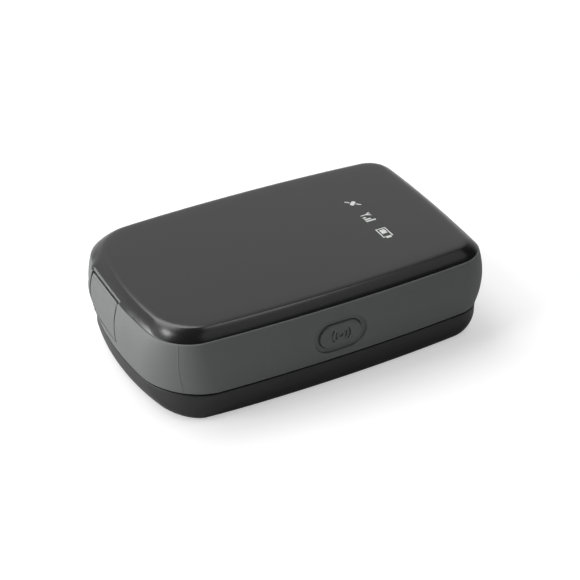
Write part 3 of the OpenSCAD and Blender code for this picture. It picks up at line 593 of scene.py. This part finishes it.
def make_shell():
    """Bottom shell: rounded foot, rim inside the band, screw columns with counterbores, board posts."""
    z1 = SHELL_H - SEAL_T / 2
    top = z1 + RIM_H + SEAL_T / 2
    wall = FIT + RIM_T
    rings = [plate_ring(WALL + up, wall + inset) for up, inset in FLOOR_ROUND]
    rings += [plate_ring(top - CHAMFER, wall), plate_ring(top, wall - CHAMFER)]
    rings += [plate_ring(top, FIT + CHAMFER), plate_ring(top - CHAMFER, FIT), plate_ring(z1, FIT)]
    for run, rise in bend(EDGE_R, 4):
        rings.append(level(z1 - rise, EDGE_R - run))
    rings += [level(z) for z in SHELL_ROWS]
    for i in range(BASE_ROWS + 1):
        rings.append(level(BASE_ARC * (1 - math.sin(math.radians(90 * i / BASE_ROWS)))))
    rings.append(level(0, BASE_INSET))
    obj = skin("shell", rings)
    column = [(BOSS_R, ROOT_Z), (BOSS_R, MEET_Z - SMALL_CHAMFER), (BOSS_R - SMALL_CHAMFER, MEET_Z)]
    bore = [(HEAD_R + 0.2, -0.3), (HEAD_R + 0.15, 0.0), (HEAD_R, 0.15), (HEAD_R, HEAD_Z)]
    bore += [(BORE_R, HEAD_Z), (BORE_R, MEET_Z + 0.4)]
    post = [(POST_R, ROOT_Z), (POST_R, BOARD_Z - SMALL_CHAMFER), (POST_R - SMALL_CHAMFER, BOARD_Z)]
    post_hole = [(POST_HOLE_R, POST_HOLE_Z), (POST_HOLE_R, BOARD_Z + 0.4)]
    for sx in (-1, 1):
        for sy in (-1, 1):
            x, y = sx * BOSS[0], sy * BOSS[1]
            boolean(obj, lathe("column", x, y, column), "UNION")
            boolean(obj, lathe("bore", x, y, bore))
            x, y = sx * POST[0], sy * POST[1]
            boolean(obj, lathe("post", x, y, post), "UNION")
            boolean(obj, lathe("post_hole", x, y, post_hole))
    return obj


def make_button(side, x0, size):
    """Button cap that follows the long side, with a flange behind the wall and a stem to its switch."""
    length, height = size
    rings = []
    for grow in (*(-height / 2 + core for core in BUTTON_CORE), *BUTTON_FACE):
        rings.append(side_ring(side, x0, length + 2 * grow, height + 2 * grow, 0.0))
    flat = (length - 2 * BUTTON_R, height - 2 * BUTTON_R)
    for run, rise in bend(BUTTON_R, 6):
        rings.append(side_ring(side, x0, flat[0] + 2 * run, flat[1] + 2 * run, rise))
    back = INNER[1] + FLANGE_IN
    for grow, depth in FLANGE:
        rings.append([flat_point(side, x0, x0 + u, BUTTON_Z + v, back + depth)
                      for u, v in stadium(length + 2 * grow, height + 2 * grow)])
    turns = [math.atan2(v, u) for u, v in stadium(length, height)]
    stem = [(STEM_R, back + FLANGE[-1][1]), (STEM_R, BUTTON_TIP - SMALL_CHAMFER)]
    stem.append((STEM_R - SMALL_CHAMFER, BUTTON_TIP))
    for r, depth in stem:
        rings.append([flat_point(side, x0, x0 + r * math.cos(t), BUTTON_Z + r * math.sin(t), depth)
                      for t in turns])
    return skin("button", rings)


def beacon(side, x0):
    """Cutters of the beacon mark: a dot with two curved waves on each side."""
    shapes = [[(DOT_R * math.cos(t), DOT_R * math.sin(t)) for t in full_turn()]]
    for k in (1, 2):
        r1 = DOT_R + WAVE_STEP * k
        r0 = r1 - WAVE_T
        for turn in (0, math.pi):
            spread = [math.radians(WAVE_SPREAD * i / 10) for i in range(-10, 11)]
            arc = [(r1 * math.cos(a + turn), r1 * math.sin(a + turn)) for a in spread]
            arc += [(r0 * math.cos(a + turn), r0 * math.sin(a + turn)) for a in reversed(spread)]
            shapes.append(arc)
    cutters = []
    for shape in shapes:
        rings = [[side_point(side, x0 + u, BUTTON_Z + v, depth) for u, v in shape]
                 for depth in MARK_DEPTHS]
        cutters.append(skin("mark", rings))
    return cutters


def make_flap():
    """Port flap: plate that follows the port face, body behind it, hinge barrel, pins and plug."""

    def ring(side_in, top_drop, foot_in, depth, r, z_foot):
        half = FLAP_HALF - FLAP_SLIT - side_in
        edges = rounded(-half, half, z_foot + foot_in, FLAP_TOP - top_drop, r)
        return [port_face(y, z, depth) for y, z in edges]

    foot = HINGE_Z - HEEL + HEEL_GAP
    rings = [ring(k, FLAP_BEVEL + k, k, 0.0, FLAP_FACE_R, foot) for k in FLAP_FACE]
    for run, rise in bend(FLAP_EDGE_R, 3):
        k = FLAP_EDGE_R - run
        rings.append(ring(k, FLAP_BEVEL + k * 0.4, k, rise, FLAP_R, foot))
    for drop, depth in FLAP_SIDE:
        rings.append(ring(0, drop, 0, depth, FLAP_R, foot))
    plate = skin("flap", rings)
    foot = HINGE_Z - SMALL_CHAMFER
    k = SMALL_CHAMFER
    rings = [ring(BODY_IN, BODY_DROP, 0, depth, FLAP_R, foot) for depth in (BODY_DEPTH, FLAP_T - k)]
    rings.append(ring(BODY_IN + k, BODY_DROP + k, k, FLAP_T, FLAP_R, foot))
    body = skin("flap_body", rings)
    barrel = rod("barrel", [(BARREL_R, -FLAP_HALF + BARREL_IN), (BARREL_R, FLAP_HALF - BARREL_IN)])
    low, high = PIN_ENDS
    k = PIN_CHAMFER
    pins = rod("pins", [(PIN_R - k, low), (PIN_R, low + k), (PIN_R, high - k), (PIN_R - k, high)])
    w, h = PLUG_W, PLUG_H
    rings = []
    tip = FLAP_T + PLUG_L
    for depth, k in ((FLAP_T - PLUG_ROOT, 0), (tip - PLUG_CHAMFER, 0), (tip, PLUG_CHAMFER)):
        rings.append(port_ring(-depth, rounded(-w + k, w - k, PLUG_Z - h + k, PLUG_Z + h - k, PLUG_R)))
    merge(plate, body, barrel, pins, skin("plug", rings))
    return plate


def box_points(cx, cy, w, h, turn=0.0):
    c, s = math.cos(turn), math.sin(turn)
    corners = [(-w / 2, -h / 2), (w / 2, -h / 2), (w / 2, h / 2), (-w / 2, h / 2)]
    return [(cx + u * c - v * s, cy + u * s + v * c) for u, v in corners]


def line_points(a, b, w):
    turn = math.atan2(b[1] - a[1], b[0] - a[0])
    mid = ((a[0] + b[0]) / 2, (a[1] + b[1]) / 2)
    return box_points(mid[0], mid[1], math.dist(a, b), w, turn)


# Icons: line width, size, mast of the signal icon, middle of the battery icon's frame, then their places
# on the cover, the plate under each, the foot of the shapes in it, and how far a cut passes what it cuts
STROKE = 0.28
ICON = 2.8
MAST_X = -1.1
CELL_X = 0.3
ICON_X = CASE_L / 2 - 18.3
ICON_YS = (5.7, -0.7, -7.1)
ICON_PAD = (2.1, 2.4)
PAD_T, PAD_R, PAD_GAP = 0.5, 0.2, 0.05
GLYPH_LOW = 0.25
CUT = 0.5


def satellite_shapes():
    """Outlines that are joined, those that are cut out, and those that stand apart."""
    w, h = ICON * 0.32, ICON * 0.6
    wing = ICON * 0.4
    turn = math.radians(45)
    shapes = [box_points(0, 0, w, h, turn)]
    for k in (-1, 1):
        mid = k * (w / 2 + STROKE + wing / 2)
        shapes.append(box_points(mid * math.cos(turn), mid * math.sin(turn), wing, ICON * 0.13, turn))
        mid = k * (w / 2 + STROKE / 2)
        shapes.append(box_points(mid * math.cos(turn), mid * math.sin(turn), 2 * STROKE, 0.15, turn))
    return shapes, [], []


def signal_shapes():
    """The same for a mast with three bars."""
    h = ICON * 0.42
    shapes = [line_points((MAST_X, -h), (MAST_X, h), STROKE)]
    for k in (-1, 1):
        shapes.append(line_points((MAST_X, 0), (MAST_X + k * h / 2, h), STROKE))
    for k in (1, 2, 3):
        top = h * k * 2 / 3
        shapes.append(box_points(MAST_X + k * 0.72 + 0.25, -h + top / 2, 0.5, top))
    return shapes, [], []


def battery_shapes():
    """The same for a battery that is two thirds full."""
    w, h = ICON * 1.23, ICON * 0.85
    shapes = [box_points(CELL_X, 0, w, h), box_points(CELL_X + w / 2 + 0.2, 0, 0.5, h / 2)]
    fill = (w - 4 * STROKE) * 0.66
    cut = [box_points(CELL_X, 0, w - 2 * STROKE, h - 2 * STROKE)]
    return shapes, cut, [box_points(CELL_X - w / 2 + 2 * STROKE + fill / 2, 0, fill, h - 4 * STROKE)]


def make_icon(i, z1):
    """Icon i as one mesh that stands from the plate under the roof up to z1."""
    joined, cut, loose = (satellite_shapes, signal_shapes, battery_shapes)[i]()

    def piece(points, low, high):
        return prism("glyph", [(ICON_X + v, ICON_YS[i] - u) for u, v in points], low, high)

    solid = piece(joined[0], ROOF_Z + GLYPH_LOW, z1)
    for points in joined[1:]:
        boolean(solid, piece(points, ROOF_Z + GLYPH_LOW, z1), "UNION")
    for points in cut:
        boolean(solid, piece(points, ROOF_Z - CUT, z1 + CUT))
    for points in loose:
        merge(solid, piece(points, ROOF_Z + GLYPH_LOW, z1))
    return solid


def icon_pad(i, gap, z0, z1):
    """Plate under icon i, or the room for it, which is larger by the gap."""
    half_x, half_y = ICON_PAD[0] + gap, ICON_PAD[1] + gap
    y = ICON_YS[i]
    return prism("pad", rounded(ICON_X - half_x, ICON_X + half_x, y - half_y, y + half_y, PAD_R), z0, z1)


cover = make_cover()
band = make_band()
shell = make_shell()
sos = make_button(-1, SOS_X, SOS)
power = make_button(1, POWER_X, POWER)
for cutter in beacon(-1, SOS_X):
    boolean(sos, cutter)
flap = make_flap()

icons = []
for i in range(3):
    boolean(cover, make_icon(i, CASE_H + CUT))
    boolean(cover, icon_pad(i, PAD_GAP, ROOF_Z - 0.4, ROOF_Z + PAD_T + PAD_GAP))
    lens = make_icon(i, CASE_H - 0.02)
    merge(lens, icon_pad(i, 0, ROOF_Z, ROOF_Z + PAD_T))
    icons.append(lens)


# Scale of the slow change of tone, half the change of roughness, and depth of the grain in metres
SLOW_SCALE = 45
ROUGH_SPREAD = 0.04
GRAIN_DEPTH = 0.0001


def srgb(*rgb):
    return tuple(c / 12.92 if c <= 0.04045 else ((c + 0.055) / 1.055) ** 2.4 for c in rgb) + (1.0,)


def material(name, colour, rough, grain=0.06, scale=900, bump=0.02,
             metal=0.0, spec=0.5, coat=0.0, blotch=0.05):
    """Finish with a fine moulded grain, a slow change of tone and a change of roughness."""
    mat = bpy.data.materials.new(name)
    mat.use_nodes = True
    nodes, links = mat.node_tree.nodes, mat.node_tree.links
    shader = nodes["Principled BSDF"]
    shader.inputs["Metallic"].default_value = metal
    shader.inputs["Specular IOR Level"].default_value = spec
    shader.inputs["Coat Weight"].default_value = coat
    place = nodes.new("ShaderNodeTexCoord")
    fine = nodes.new("ShaderNodeTexNoise")
    fine.inputs["Scale"].default_value = scale
    fine.inputs["Detail"].default_value = 3
    slow = nodes.new("ShaderNodeTexNoise")
    slow.inputs["Scale"].default_value = SLOW_SCALE
    slow.inputs["Detail"].default_value = 2
    for tex in (fine, slow):
        links.new(place.outputs["Object"], tex.inputs["Vector"])
    dark = nodes.new("ShaderNodeMix")
    dark.data_type = "RGBA"
    dark.inputs["A"].default_value = tuple(c * (1 - blotch) for c in colour[:3]) + (1,)
    dark.inputs["B"].default_value = tuple(c * (1 + blotch) for c in colour[:3]) + (1,)
    links.new(slow.outputs["Fac"], dark.inputs["Factor"])
    speck = nodes.new("ShaderNodeMix")
    speck.data_type = "RGBA"
    speck.blend_type = "MULTIPLY"
    speck.inputs["Factor"].default_value = grain
    links.new(dark.outputs["Result"], speck.inputs["A"])
    links.new(fine.outputs["Color"], speck.inputs["B"])
    links.new(speck.outputs["Result"], shader.inputs["Base Color"])
    gloss = nodes.new("ShaderNodeMapRange")
    gloss.inputs["To Min"].default_value = rough - ROUGH_SPREAD
    gloss.inputs["To Max"].default_value = rough + ROUGH_SPREAD
    links.new(slow.outputs["Fac"], gloss.inputs["Value"])
    links.new(gloss.outputs["Result"], shader.inputs["Roughness"])
    relief = nodes.new("ShaderNodeBump")
    relief.inputs["Strength"].default_value = bump
    relief.inputs["Distance"].default_value = GRAIN_DEPTH
    links.new(fine.outputs["Fac"], relief.inputs["Height"])
    links.new(relief.outputs["Normal"], shader.inputs["Normal"])
    return mat


# Surface that the grey pieces share
GREY_SKIN = {"scale": 3200, "bump": 0.06, "spec": 0.35}
MATS = {
    "cover_black": material("cover_black", srgb(0.10, 0.10, 0.102), 0.22, scale=2600, bump=0.05),
    "band_grey": material("band_grey", srgb(0.43, 0.44, 0.435), 0.60, **GREY_SKIN),
    "flap_grey": material("flap_grey", srgb(0.43, 0.44, 0.435), 0.60, **GREY_SKIN),
    "button_grey": material("button_grey", srgb(0.42, 0.43, 0.425), 0.60, **GREY_SKIN),
    "shell_black": material("shell_black", srgb(0.135, 0.135, 0.137), 0.40, scale=2200, bump=0.05),
    "seal_black": material("seal_black", srgb(0.04, 0.04, 0.04), 0.85, bump=0.03, spec=0.1),
    "screw_steel": material("screw_steel", srgb(0.70, 0.70, 0.72), 0.32, metal=1.0, scale=1500),
    "icon_white": material("icon_white", srgb(0.80, 0.81, 0.80), 0.45, scale=1500),
    "clear_guide": material("clear_guide", srgb(0.85, 0.88, 0.9), 0.2, scale=600),
    "led_white": material("led_white", srgb(0.95, 0.94, 0.82), 0.4, scale=900),
    "board_green": material("board_green", srgb(0.08, 0.32, 0.18), 0.35, grain=0.2, scale=700, coat=0.3),
    "tin": material("tin", srgb(0.78, 0.78, 0.79), 0.3, metal=1.0, scale=900),
    "black_nylon": material("black_nylon", srgb(0.1, 0.1, 0.1), 0.5),
    "chip_black": material("chip_black", srgb(0.09, 0.09, 0.095), 0.55),
    "chip_ceramic": material("chip_ceramic", srgb(0.62, 0.52, 0.4), 0.6),
    "gold": material("gold", srgb(0.86, 0.7, 0.36), 0.3, metal=1.0),
    "ceramic_tan": material("ceramic_tan", srgb(0.8, 0.72, 0.56), 0.7, grain=0.15),
    "silver": material("silver", srgb(0.82, 0.82, 0.8), 0.28, metal=1.0),
    "nylon_white": material("nylon_white", srgb(0.88, 0.87, 0.83), 0.5),
    "card_white": material("card_white", srgb(0.9, 0.9, 0.88), 0.5),
    "cell_foil": material("cell_foil", srgb(0.74, 0.76, 0.79), 0.36, metal=0.8, scale=300),
    "foam_black": material("foam_black", srgb(0.12, 0.12, 0.12), 0.95, grain=0.3, scale=1800, bump=0.4),
    "lead_red": material("lead_red", srgb(0.75, 0.1, 0.09), 0.4),
    "lead_black": material("lead_black", srgb(0.07, 0.07, 0.07), 0.4),
}


def finish(obj, name, body, slot, *nodes_):
    """Names a piece, gives it its material and puts it in place of the solids of its nodes."""
    smooth(obj)
    obj.name = name
    obj.data.name = name
    obj.data.materials.clear()
    obj.data.materials.append(MATS[slot])
    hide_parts(*nodes_)
    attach(obj, body)


finish(cover, "cover_shell", "case", "cover_black", "top_cover")
finish(band, "side_band_ring", "case", "band_grey", "side_band")
finish(shell, "bottom_tub", "case", "shell_black", "bottom_shell")
finish(sos, "sos_key", "sos_button", "button_grey", "sos_button")
finish(power, "power_key", "power_button", "button_grey", "power_button")
finish(flap, "port_door", "port_flap", "flap_grey", "port_flap")
for obj, name in zip(icons, ("gps_icon", "signal_icon", "battery_icon")):
    finish(obj, name, "case", "icon_white", name + "_lens")

for entry in frame["record"]["subparts"]:
    obj = frame["nodes"][entry["node"]]
    obj.data.materials.clear()
    obj.data.materials.append(MATS[entry["material_slot"]])

# Floor: pale paper that glows for the camera alone, so that it ends white with the shadow kept. The glow
# rises from one reach to the other, in metres from the middle of the object
FLOOR_GLOW = (0.47, 1.0)
GLOW_REACH = (0.25, 0.9)
FLOOR_HALF = 4000
corners = [(sx * FLOOR_HALF, sy * FLOOR_HALF, 0) for sx, sy in ((-1, -1), (1, -1), (1, 1), (-1, 1))]
floor = new_object("floor", corners, [(0, 1, 2, 3)])
paper = bpy.data.materials.new("paper")
paper.use_nodes = True
nodes, links = paper.node_tree.nodes, paper.node_tree.links
shader = nodes["Principled BSDF"]
shader.inputs["Roughness"].default_value = 0.9
shader.inputs["Specular IOR Level"].default_value = 0.1
grain = nodes.new("ShaderNodeTexNoise")
grain.inputs["Scale"].default_value = 60
tone = nodes.new("ShaderNodeMix")
tone.data_type = "RGBA"
tone.inputs["A"].default_value = (0.59, 0.59, 0.59, 1)
tone.inputs["B"].default_value = (0.61, 0.61, 0.61, 1)
links.new(grain.outputs["Fac"], tone.inputs["Factor"])
links.new(tone.outputs["Result"], shader.inputs["Base Color"])
ray = nodes.new("ShaderNodeLightPath")
spot = nodes.new("ShaderNodeNewGeometry")
away = nodes.new("ShaderNodeVectorMath")
away.operation = "LENGTH"
links.new(spot.outputs["Position"], away.inputs[0])
glow = nodes.new("ShaderNodeMapRange")
glow.inputs["From Min"].default_value, glow.inputs["From Max"].default_value = GLOW_REACH
glow.inputs["To Min"].default_value, glow.inputs["To Max"].default_value = FLOOR_GLOW
links.new(away.outputs["Value"], glow.inputs["Value"])
lift = nodes.new("ShaderNodeMath")
lift.operation = "MULTIPLY"
links.new(glow.outputs["Result"], lift.inputs[1])
links.new(ray.outputs["Is Camera Ray"], lift.inputs[0])
shader.inputs["Emission Color"].default_value = (1, 1, 1, 1)
links.new(lift.outputs["Value"], shader.inputs["Emission Strength"])
floor.data.materials.append(paper)

# Studio surround: a white wall behind the object, dark on the side of the alarm button
WALL_RISE = (-0.05, 0.68)
WALL_GLOW = (0.02, 0.87)
world = bpy.data.worlds.new("studio")
bpy.context.scene.world = world
world.use_nodes = True
nodes, links = world.node_tree.nodes, world.node_tree.links
surround = nodes["Background"]
coord = nodes.new("ShaderNodeTexCoord")
split = nodes.new("ShaderNodeSeparateXYZ")
links.new(coord.outputs["Generated"], split.inputs["Vector"])
wall_side = nodes.new("ShaderNodeMapRange")
wall_side.interpolation_type = "SMOOTHSTEP"
wall_side.inputs["From Min"].default_value, wall_side.inputs["From Max"].default_value = WALL_RISE
wall_side.inputs["To Min"].default_value, wall_side.inputs["To Max"].default_value = WALL_GLOW
links.new(split.outputs["Y"], wall_side.inputs["Value"])
links.new(wall_side.outputs["Result"], surround.inputs["Strength"])
surround.inputs["Color"].default_value = (1, 1, 1, 1)


def lamp(name, at, target, size, power):
    data = bpy.data.lights.new(name, "AREA")
    data.shape = "RECTANGLE"
    data.size, data.size_y = size
    data.energy = power
    obj = bpy.data.objects.new(name, data)
    obj.location = at
    obj.rotation_euler = (Vector(target) - Vector(at)).to_track_quat("-Z", "Y").to_euler()
    bpy.context.scene.collection.objects.link(obj)


lamp("key_box", (-0.32, 0.03, 0.40), (0, 0, 0.01), (0.10, 0.10), 0.42)
lamp("side_box", (-0.50, 0.09, 0.33), (0, 0, 0.01), (0.35, 0.25), 0.3)
lamp("left_box", (-0.50, 0.10, 0.10), (0, 0, 0.012), (0.4, 0.16), 2.05)
lamp("top_box", (-0.14, 0.28, 0.60), (0, 0, 0), (0.5, 0.36), 2.5)
lamp("strip_box", (0.18, -0.11, 0.60), (0, 0, 0.02), (0.2, 0.18), 0.36)
lamp("front_box", (0.23, -0.32, 0.45), (0, 0, 0.01), (0.5, 0.35), 0.33)

# Camera at the photo's angle
AZIMUTH, ELEVATION, DISTANCE = math.radians(-27.94), math.radians(34.39), 0.3248
TARGET = Vector((0.00026, -0.00338, 0.0105))
LENS, SENSOR = 97.07, 36
level_reach = math.cos(ELEVATION)
reach = Vector((math.sin(AZIMUTH) * level_reach, -math.cos(AZIMUTH) * level_reach, math.sin(ELEVATION)))
data = bpy.data.cameras.new("camera")
data.lens = LENS
data.sensor_width = SENSOR
data.clip_start = 0.01
camera = bpy.data.objects.new("camera", data)
camera.location = TARGET + DISTANCE * reach
camera.rotation_euler = (-reach).to_track_quat("-Z", "Y").to_euler()
bpy.context.scene.collection.objects.link(camera)
bpy.context.scene.camera = camera
bpy.context.scene.view_settings.view_transform = "Standard"
